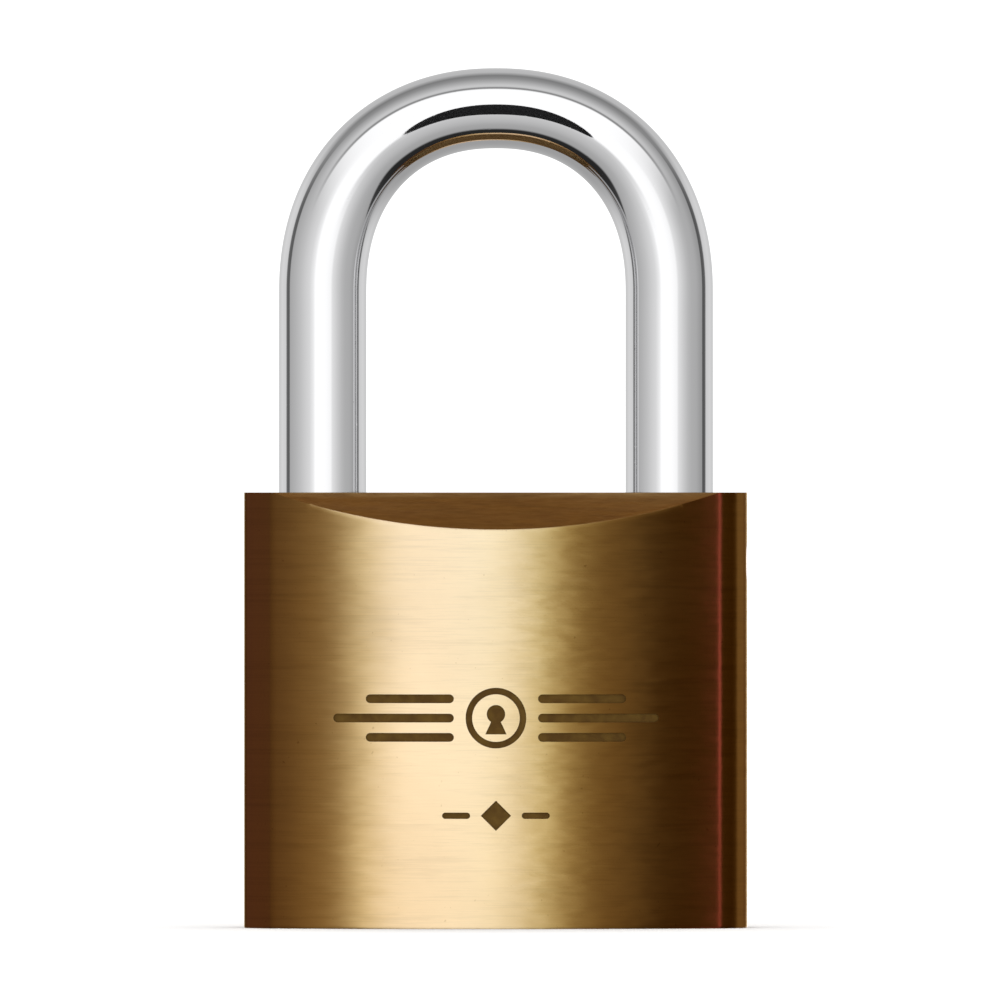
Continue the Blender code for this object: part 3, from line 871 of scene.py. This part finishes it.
def coil(spring, length):
    # closed end turns, open turns between them, along +Z from 0
    wire = spring["wire"]
    closed = wire * closedPitch
    opened = (length - 2 * wire - 2 * closed) / (spring["turns"] - 2)
    shape = bmesh.new()
    bmesh.ops.create_circle(shape, cap_ends=True, segments=spring["wireSides"], radius=wire)
    placed(shape, facingFront, (spring["radius"], 0, wire))
    section = shape.verts[:] + shape.edges[:] + shape.faces[:]
    for turns, pitch in ((1, closed), (spring["turns"] - 2, opened), (1, closed)):
        rise = (0, 0, pitch / spring["rounds"])
        turn = {"cent": (0, 0, 0), "axis": (0, 0, 1), "dvec": rise, "angle": 2 * math.pi * turns}
        made = bmesh.ops.spin(shape, geom=section, steps=turns * spring["rounds"], **turn)
        section = made["geom_last"]
    return shape


def makeSpring(node, spring, turn, start, end):
    # start is the end that rests in the case, end the one that pushes the moving piece
    length = (Vector(end) - Vector(start)).length
    name = node.replace("_", "") + "Coil"
    piece = roughOut(name, placed(coil(spring, length), turn, start), springSteel)
    toMetres(piece, 50)
    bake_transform(piece)
    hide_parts(node)
    steelPieces.append(piece)


def makeSprings():
    low, high = boxOf("shackle_spring")
    start, end = (-legX, 0, low.z), (-legX, 0, high.z)
    makeSpring("shackle_spring", shackleSpring, upright, start, end)
    towardAxis = Matrix.Rotation(-math.pi / 2, 4, "Y")
    for number in range(1, 6):
        low, high = boxOf(f"driver_spring_{number}")
        height = middleOf(f"driver_pin_{number}").z
        start, end = (high.x, 0, height), (low.x, 0, height)
        node, body = f"driver_spring_{number}", f"driver_{number}"
        makeSpring(node, driverSpring, towardAxis, start, end)
    print("springs made")


makeSprings()


# heights are measured up from the base of the case
plugSizes = {
    "recess": 0.2,
    "edge": 0.3,
    "softening": 0.06,
    "tongueSoftening": 0.12,
    "grooveLow": 2.2,
    "grooveHigh": 3.9,
    "grooveRadius": 4.6,
    "top": 24.0,
    "tongueLength": 7.0,
    "tongueWidth": 2.4,
    "tongueReach": 1.6,
    "keywayBack": -4.3,
    "keywayFront": 3.0,
    "keywayHalf": 1.0,
    "wards": ((-1.5, -1), (0.8, 1)),  # middle of each ward, and its side
    "wardDepth": 0.62,
    "wardWidth": 1.0,
    "wardSlope": 0.4,
    "chamberFloor": 0.2,
    "chamberGap": 0.1,
}


def keywaySide(side):
    wall = side * plugSizes["keywayHalf"]
    inner = wall - side * plugSizes["wardDepth"]
    slope = plugSizes["wardSlope"]
    points = [(plugSizes["keywayBack"], wall)]
    for middle, wardSide in plugSizes["wards"]:
        if wardSide == side:
            half = plugSizes["wardWidth"] / 2
            near, far = middle - half, middle + half
            points += [(near - slope, wall), (near, inner), (far, inner), (far + slope, wall)]
    return points + [(plugSizes["keywayFront"], wall)]


def makePlug():
    radius = boxOf("plug")[1].x
    edge, soft, top = plugSizes["edge"], plugSizes["softening"], plugSizes["top"]
    groove, grooveLow, grooveHigh = plugSizes["grooveRadius"], plugSizes["grooveLow"], plugSizes["grooveHigh"]
    profile = [
        (radius - edge, plugSizes["recess"]),
        (radius, plugSizes["recess"] + edge),
        (radius, grooveLow - soft),
        (radius - soft, grooveLow),
        (groove, grooveLow),
        (groove, grooveHigh),
        (radius - soft, grooveHigh),
        (radius, grooveHigh + soft),
        (radius, top - edge / 2),
        (radius - edge / 2, top),
    ]
    piece = roughOut("keyPlug", turned(profile, 120), turnedBrass)
    reach = plugSizes["tongueReach"]
    tongue = block(plugSizes["tongueLength"], plugSizes["tongueWidth"], top - reach, top + reach)
    bmesh.ops.recalc_face_normals(tongue, faces=tongue.faces)
    rounded(tongue, tongue.edges[:], plugSizes["tongueSoftening"])
    change(piece, tongue, "UNION", turnedBrass)
    walls = keywaySide(-1) + keywaySide(1)[::-1]
    moves = [{"to": point} for point in walls[1:]]
    cut(piece, prism(walls[0], moves, -1.0, top - reach), boredBrass)
    for number in range(1, 6):
        low, high = boxOf(f"key_pin_{number}")
        wide = (high.z - low.z) / 2 + plugSizes["chamberGap"]
        chamber = turned([(wide, plugSizes["chamberFloor"]), (wide, 2 * radius)], 40)
        cut(piece, placed(chamber, alongX, (0, 0, (low.z + high.z) / 2)), boredBrass)
    finishPiece(piece, "cylinder", "turned_brass", "plug")
    brassPieces.append(piece)
    print("plug made")


makePlug()


pinSizes = {"dome": 0.25, "domeSteps": 5, "point": 0.7, "tip": 0.35, "softening": 0.08, "sides": 48}


def roundedNose(radius, at, sense):
    # stations of a gently domed end, from the flat's rim out to the barrel
    dome, steps = pinSizes["dome"], pinSizes["domeSteps"]
    stations = []
    for step in range(steps + 1):
        angle = math.pi / 2 * step / steps
        inward = 2 * dome * (1 - math.sin(angle))
        stations.append((radius - inward, at + sense * dome * (1 - math.cos(angle))))
    return stations


def makePins():
    tip, soft = pinSizes["tip"], pinSizes["softening"]
    for number in range(1, 6):
        low, high = boxOf(f"key_pin_{number}")
        radius = (high.z - low.z) / 2
        centre = (0, 0, (low.z + high.z) / 2)
        shoulder = low.x + pinSizes["point"]
        profile = [
            (tip - soft, low.x),
            (tip, low.x + soft / 2),
            (radius - soft, shoulder - soft / 2),
            (radius, shoulder + soft),
            *roundedNose(radius, high.x, -1)[::-1],
        ]
        shape = placed(turned(profile, pinSizes["sides"]), alongX, centre)
        piece = roughOut(f"keyPin{number}", shape, pinBrass)
        finishPiece(piece, f"bottom_{number}", "turned_brass", f"key_pin_{number}")
        brassPieces.append(piece)
        low, high = boxOf(f"driver_pin_{number}")
        profile = roundedNose(radius, low.x, 1) + roundedNose(radius, high.x, -1)[::-1]
        shape = placed(turned(profile, pinSizes["sides"]), alongX, centre)
        piece = roughOut(f"driverPin{number}", shape, groundSteel)
        finishPiece(piece, f"driver_{number}", "steel", f"driver_pin_{number}")
        steelPieces.append(piece)
    print("pins made")


makePins()


actuatorSizes = {
    "camSink": 1.25,  # how far the cam reaches down into its base
    "slotSpare": 0.2,
    "slotRoom": 0.1,
    "camSides": 240,
    "sweepSteps": 48,
    "softening": 0.10,
}


def camReach(angle, radius, ballX, travel, keepOff):
    # the cam's radius at an angle, clear of both balls as they draw in over a quarter turn
    reach = radius
    for step in range(actuatorSizes["sweepSteps"] + 1):
        share = step / actuatorSizes["sweepSteps"]
        distance = ballX - travel * share
        for side in (0.0, math.pi):
            off = angle - side + share * math.pi / 2
            aside = distance * math.sin(off)
            if math.cos(off) > 0 and abs(aside) < keepOff:
                reach = min(reach, distance * math.cos(off) - math.sqrt(keepOff**2 - aside**2))
    return reach


def makeActuator():
    low, high = boxOf("actuator")
    ball = middleOf("ball_toe")
    ballRadius = boxOf("ball_toe")[1].z - ball.z
    keepOff = ballRadius + case["runningGap"]
    radius = boxOf("plug")[1].x - case["runningGap"] / 2
    camLow = ball.z - keepOff
    edge = actuatorSizes["softening"]
    base = [(radius - edge, low.z), (radius, low.z + edge), (radius, camLow - edge), (radius - edge, camLow)]
    piece = roughOut("driveCam", turned(base, 120), groundSteel)
    cam = bmesh.new()
    bmesh.ops.create_circle(cam, cap_ends=True, segments=actuatorSizes["camSides"], radius=1.0)
    for vertex in cam.verts:
        angle = math.atan2(vertex.co.y, vertex.co.x)
        vertex.co *= camReach(angle, radius, ball.x, shackleSizes["ballTravel"], keepOff)
    cam.faces.ensure_lookup_table()
    raiseOutline(cam, cam.faces[0], camLow - actuatorSizes["camSink"], high.z)
    upper = [line for line in cam.edges if min(vertex.co.z for vertex in line.verts) > high.z - 0.01]
    rim = [line for line in upper if line.calc_face_angle(0.0) > 1.0]
    rounded(cam, rim, edge)
    change(piece, cam, "UNION", groundSteel)
    length = plugSizes["tongueLength"] + actuatorSizes["slotSpare"]
    width = plugSizes["tongueWidth"] + actuatorSizes["slotSpare"]
    slotTop = plugSizes["top"] + plugSizes["tongueReach"] + actuatorSizes["slotRoom"]
    cut(piece, block(length, width, low.z - 1, slotTop), groundSteel)
    finishPiece(piece, "cylinder", "steel", "actuator")
    steelPieces.append(piece)


def makeBalls():
    for node in ("ball_heel", "ball_toe"):
        centre = middleOf(node)
        shape = bmesh.new()
        bmesh.ops.create_icosphere(shape, subdivisions=5, radius=boxOf(node)[1].z - centre.z)
        name = node.replace("ball_", "") + "LockingBall"
        body = node.replace("ball_", "") + "_ball"
        piece = finishPiece(roughOut(name, placed(shape, at=centre), ballSteel), body, "steel", node)
        steelPieces.append(piece)


makeActuator()
makeBalls()
print("locking work made")


pressedSizes = {"stopperChamfer": 0.1, "pinChamfer": 0.15}


def trimFlush(piece, material):
    start, moves = caseOutline(case["pressGap"])
    change(piece, prism(start, moves, -1.0, caseTop + 1.0), "INTERSECT", material)


def pressRod(name, start, radius, length, slope, sides, turn, place, material):
    # a rod with a small chamfer at its inner end, pressed in and trimmed flush
    rod = turned([(radius - slope, start), (radius, start + slope), (radius, length)], sides)
    piece = roughOut(name, placed(rod, turn, place), material)
    trimFlush(piece, material)
    return piece


def makeStoppers():
    names = [(f"chamber_plug_{number}", f"chamberStopper{number}") for number in range(1, 6)]
    slope = pressedSizes["stopperChamfer"]
    for node, name in [*names, ("ball_hole_plug", "ballHoleStopper")]:
        low, high = boxOf(node)
        place = (0, 0, (low.z + high.z) / 2)
        radius = (high.y - low.y) / 2
        piece = pressRod(name, low.x, radius, halfWidth + 1.0, slope, 64, alongX, place, brushedBrass)
        finishPiece(piece, "case", "brushed_brass", node)
        brassPieces.append(piece)


def makeRetainingPins():
    slope = pressedSizes["pinChamfer"]
    for node, name in (("shackle_retaining_pin", "shackleStopPin"), ("plug_retaining_pin", "plugStopPin")):
        low, high = boxOf(node)
        place = ((low.x + high.x) / 2, 0, (low.z + high.z) / 2)
        radius = (high.x - low.x) / 2
        piece = pressRod(name, low.y, radius, halfDepth + 1.0, slope, 48, alongY, place, groundSteel)
        finishPiece(piece, "case", "steel", node)
        steelPieces.append(piece)


makeStoppers()
makeRetainingPins()
print("pressed pieces made")


studio = {  # metres
    "background": 1.2,  # strength
    "panelReach": 0.6,
    "panelHeight": 1.1,
    "panelMiddle": 0.019,
    "roomHalf": 0.715,
    "domeRadius": 1.0,
    "domeMiddle": 0.055,
    "domeStrength": 1.52,
    "floorShade": 0.98,
    "floorHalf": 30.0,
}


def fromSrgb(value):
    # a shade from 0 to 255 as seen, to light
    share = value / 255
    return share / 12.92 if share <= 0.04045 else ((share + 0.055) / 1.055) ** 2.4


def gatherPieces(name, pieces):
    group = bpy.data.collections.new(name)
    for piece in pieces:
        group.objects.link(piece)
    return group


brassGroup = gatherPieces("brassPieces", brassPieces)
steelGroup = gatherPieces("steelPieces", steelPieces)


def addPanel(name, centre, facing, width, height, stops):
    # a wall of light seen by the brass alone; the stops run along the panel's own +X
    light = bpy.data.lights.new(name, "AREA")
    light.shape = "RECTANGLE"
    light.size = width
    light.size_y = height
    light.energy = math.pi * width * height
    light.use_nodes = True
    tree = light.node_tree
    emission = tree.nodes["Emission"]
    across = addNode(tree, "ShaderNodeNewGeometry").outputs["Parametric"]
    share = addNode(tree, "ShaderNodeSeparateXYZ", {0: across}).outputs["X"]
    tree.links.new(addRamp(tree, share, stops), emission.inputs["Color"])
    panel = addObject(name, light)
    panel.location = centre
    panel.rotation_euler = facing
    panel.visible_camera = False
    panel.light_linking.receiver_collection = brassGroup


# what the crowned brass face shows, by the direction it looks in: degrees to the right of the front, light
frontLight = [
    (-36.3, (0.105, 0.042, 0.010)),
    (-32.8, (0.225, 0.110, 0.025)),
    (-29.4, (0.215, 0.100, 0.020)),
    (-26.0, (0.400, 0.230, 0.060)),
    (-22.6, (1.040, 0.780, 0.350)),
    (-19.3, (1.220, 0.950, 0.600)),
    (-15.9, (1.450, 1.180, 0.810)),
    (-12.0, (1.370, 1.110, 0.760)),
    (-2.6, (1.340, 1.140, 0.800)),
    (0.7, (1.340, 1.120, 0.720)),
    (4.0, (1.080, 0.860, 0.530)),
    (7.3, (0.940, 0.740, 0.290)),
    (10.6, (0.470, 0.280, 0.060)),
    (13.9, (0.270, 0.145, 0.028)),
    (17.3, (0.165, 0.073, 0.012)),
    (20.6, (0.155, 0.069, 0.013)),
    (24.0, (0.120, 0.058, 0.013)),
    (27.4, (0.036, 0.011, 0.001)),
    (31.0, (0.026, 0.007, 0.000)),
    (41.5, (0.026, 0.007, 0.000)),
    (42.0, (0.440, 0.075, 0.048)),
    (47.5, (0.440, 0.075, 0.048)),
    (48.0, (0.030, 0.008, 0.000)),
    (49.5, (0.030, 0.008, 0.000)),
]
redStrip = 38.0  # lights from here on are the front's alone: the back has no red strip
dimWarm = (0.080, 0.027, 0.009)
darkWarm = (0.030, 0.008, 0.000)
paleWarm = (0.158, 0.072, 0.016)
rightLight = [(50.5, darkWarm), (95.0, darkWarm), (102.0, paleWarm), (130.0, paleWarm)]
leftLight = [(50.0, dimWarm), (130.0, dimWarm)]
topLight = [(0.0, (0.165, 0.074, 0.013)), (1.0, (0.165, 0.074, 0.013))]


def asEmission(colour):
    # the light that brass turns into this colour
    return tuple(value / base for value, base in zip(colour, brassFinish["colour"]))


def frontStops(lights, width, reach):
    stops = []
    for azimuth, colour in lights:
        start = case["faceRadius"] * mm * math.sin(math.radians(azimuth) / 2)
        hit = start + math.tan(math.radians(azimuth)) * (reach - halfDepth * mm)
        stops.append((0.5 + hit / width, asEmission(colour)))
    return stops


def sideStops(lights, half, reach):
    # along a side wall from front to back
    stops = []
    for azimuth, colour in lights:
        hit = -half / math.tan(math.radians(azimuth))
        stops.append((0.5 + hit / (2 * reach), asEmission(colour)))
    return stops


def lightBrass():
    reach = studio["panelReach"]
    half = studio["roomHalf"]
    tall = studio["panelHeight"]
    quarter = math.pi / 2
    middle = studio["panelMiddle"]
    front = frontStops(frontLight, 2 * half, reach)
    addPanel("frontPanel", (0, -reach, middle), (quarter, 0, 0), 2 * half, tall, front)
    plain = [*(stop for stop in frontLight if stop[0] < redStrip), (redStrip + 2, dimWarm)]
    back = frontStops(plain, 2 * half, reach)
    addPanel("backPanel", (0, reach, middle), (quarter, 0, math.pi), 2 * half, tall, back)
    right = sideStops(rightLight, half, reach)
    addPanel("rightPanel", (half, 0, middle), (quarter, 0, quarter), 2 * reach, tall, right)
    left = sideStops(leftLight, half, reach)
    addPanel("leftPanel", (-half, 0, middle), (quarter, 0, -quarter), 2 * reach, tall, left)
    top = [(place, asEmission(colour)) for place, colour in topLight]
    addPanel("topPanel", (0, 0, middle + tall / 2), (0, 0, 0), 2 * half, 2 * reach, top)


lightBrass()
print("brass lights set")

# what polished metal sees: degrees away from the front, shade from 0 to 255
sideRoom = [
    (0, 255), (20, 255), (25, 235), (35, 214), (45, 205), (60, 190), (75, 178), (90, 168), (97, 165),
    (114, 205), (131, 209), (150, 190), (163, 190), (168, 255),
]
rightRoom = [
    (0, 255), (20, 246), (25, 222), (38, 201), (50, 183), (60, 173), (75, 168), (90, 152), (97, 150),
    (114, 202), (131, 207), (150, 190), (163, 190), (168, 255),
]
topRoom = [
    (0, 255), (59, 255), (62.5, 135), (65.5, 135), (69, 198), (74, 198), (85, 173), (98, 142),
    (111, 122), (128, 181), (163, 181), (168, 255),
]
bottomRoom = [
    (0, 255), (8, 255), (14, 205), (24, 192), (33, 186), (42, 177), (51, 165), (92, 140), (107, 155),
    (122, 155), (163, 170), (168, 255),
]
roomTurns = {"up": (0.30, 0.85), "down": (-0.15, -0.75), "right": (0.02, 0.3)}  # where one shade takes over
# the dark seam: degrees away from the front, half its width and its depth, at the side and below
seam = {"away": (102.5, 77.0), "half": (7.5, 13.0), "depth": (0.76, 0.94), "edge": (1.15, 0.6)}


def makeRoomMaterial():
    material = bpy.data.materials.new("roomLight")
    material.use_nodes = True
    tree = material.node_tree
    tree.nodes.clear()
    place = addNode(tree, "ShaderNodeTexCoord").outputs["Object"]
    middle = (0, 0, studio["domeMiddle"])
    centred = addNode(tree, "ShaderNodeVectorMath", {0: place, 1: middle}, operation="SUBTRACT").outputs[0]
    unit = addNode(tree, "ShaderNodeVectorMath", {0: centred}, operation="NORMALIZE").outputs[0]
    parts = addNode(tree, "ShaderNodeSeparateXYZ", {0: unit})
    ahead = addMath(tree, "MULTIPLY", parts.outputs["Y"], -1.0)
    away = addMath(tree, "DIVIDE", addMath(tree, "ARCCOSINE", ahead), math.pi)
    across = addMath(tree, "POWER", parts.outputs["X"], 2.0)
    high = addMath(tree, "POWER", parts.outputs["Z"], 2.0)
    radius = addMath(tree, "SQRT", addMath(tree, "ADD", addMath(tree, "ADD", across, high), 1e-6))
    slant = addMath(tree, "DIVIDE", parts.outputs["Z"], radius)
    sideShade, topShade, bottomShade, rightShade = (
        addRamp(tree, away, [(angle / 180, fromSrgb(shade)) for angle, shade in room])
        for room in (sideRoom, topRoom, bottomRoom, rightRoom)
    )
    upward = addRange(tree, slant, *roomTurns["up"], kind="SMOOTHSTEP")
    downward = addRange(tree, slant, *roomTurns["down"], kind="SMOOTHSTEP")
    rightward = addRange(tree, parts.outputs["X"], *roomTurns["right"])
    light = addMix(tree, rightward, sideShade, rightShade)
    light = addMix(tree, upward, light, topShade)
    light = addMix(tree, downward, light, bottomShade)
    # the seam widens, deepens and comes forward lower down, and fades out above
    centre = addBlend(tree, downward, *(angle / 180 for angle in seam["away"]))
    reach = addBlend(tree, downward, *(angle / 180 for angle in seam["half"]))
    depth = addBlend(tree, downward, *seam["depth"])
    off = addMath(tree, "DIVIDE", addMath(tree, "ABSOLUTE", addMath(tree, "SUBTRACT", away, centre)), reach)
    inside = addRange(tree, off, *seam["edge"], kind="SMOOTHSTEP")
    depth = addMath(tree, "MULTIPLY", depth, addMath(tree, "SUBTRACT", 1.0, upward))
    kept = addMath(tree, "SUBTRACT", 1.0, addMath(tree, "MULTIPLY", inside, depth))
    light = addMix(tree, 1.0, light, kept, "MULTIPLY")
    emission = addNode(tree, "ShaderNodeEmission", {"Color": light, "Strength": studio["domeStrength"]})
    output = addNode(tree, "ShaderNodeOutputMaterial")
    tree.links.new(emission.outputs[0], output.inputs["Surface"])
    material.cycles.emission_sampling = "NONE"
    return material


def hideFrom(thing, *rays):
    for ray in rays:
        setattr(thing, f"visible_{ray}", False)


def makeRoom():
    shape = bmesh.new()
    bmesh.ops.create_icosphere(shape, subdivisions=5, radius=studio["domeRadius"])
    bmesh.ops.translate(shape, verts=shape.verts, vec=(0, 0, studio["domeMiddle"]))
    room = roughOut("roomDome", shape, makeRoomMaterial())
    room.data.shade_smooth()
    hideFrom(room, "camera", "diffuse", "shadow")
    room.light_linking.receiver_collection = steelGroup


lensShade = {  # millimetres
    "place": (0.2, -28.0, 71.0),
    "radius": 6.7,
    "thickness": 1.5,
    "colour": (0.021, 0.021, 0.022),
}


def makeLensShade():
    # the black round front of a lens, which the polished crown alone reflects
    x, y, z = lensShade["place"]
    thick = lensShade["thickness"]
    disc = turned([(lensShade["radius"], 0.0), (lensShade["radius"] + 0.5, thick)], 64)
    placed(disc, alongY, (x, y - thick, z))
    bmesh.ops.scale(disc, vec=(mm, mm, mm), verts=disc.verts)
    shade = roughOut("lensShade", disc, plainMaterial("lensBlack", lensShade["colour"]))
    hideFrom(shade, "camera", "diffuse", "shadow")


def plainMaterial(name, colour):
    material = bpy.data.materials.new(name)
    material.use_nodes = True
    shader = material.node_tree.nodes["Principled BSDF"]
    shader.inputs["Base Color"].default_value = (*colour, 1.0)
    shader.inputs["Roughness"].default_value = 1.0
    shader.inputs["Specular IOR Level"].default_value = 0.0
    return material


def makeFloor():
    shape = bmesh.new()
    bmesh.ops.create_grid(shape, x_segments=1, y_segments=1, size=studio["floorHalf"])
    floor = roughOut("floor", shape, plainMaterial("paleFloor", 3 * (studio["floorShade"],)))
    hideFrom(floor, "glossy", "shadow")


def makeWorld():
    world = bpy.data.worlds.new("studio")
    bpy.context.scene.world = world
    world.use_nodes = True
    background = world.node_tree.nodes["Background"]
    background.inputs["Color"].default_value = (1.0, 1.0, 1.0, 1.0)
    background.inputs["Strength"].default_value = studio["background"]
    world.cycles.sampling_method = "NONE"


cameraSetup = {"focalLength": 900, "sensorWidth": 36, "place": (0.00036, -2.2365, 0.03823), "clipEnd": 100}


def placeCamera():
    lens = bpy.data.cameras.new("camera")
    lens.lens = cameraSetup["focalLength"]
    lens.sensor_width = cameraSetup["sensorWidth"]
    lens.clip_end = cameraSetup["clipEnd"]
    camera = addObject("camera", lens)
    camera.location = cameraSetup["place"]
    camera.rotation_euler = (math.pi / 2, 0, 0)
    bpy.context.scene.camera = camera


makeRoom()
makeLensShade()
makeFloor()
makeWorld()
placeCamera()
bpy.context.scene.view_settings.view_transform = "Standard"
print("studio set")
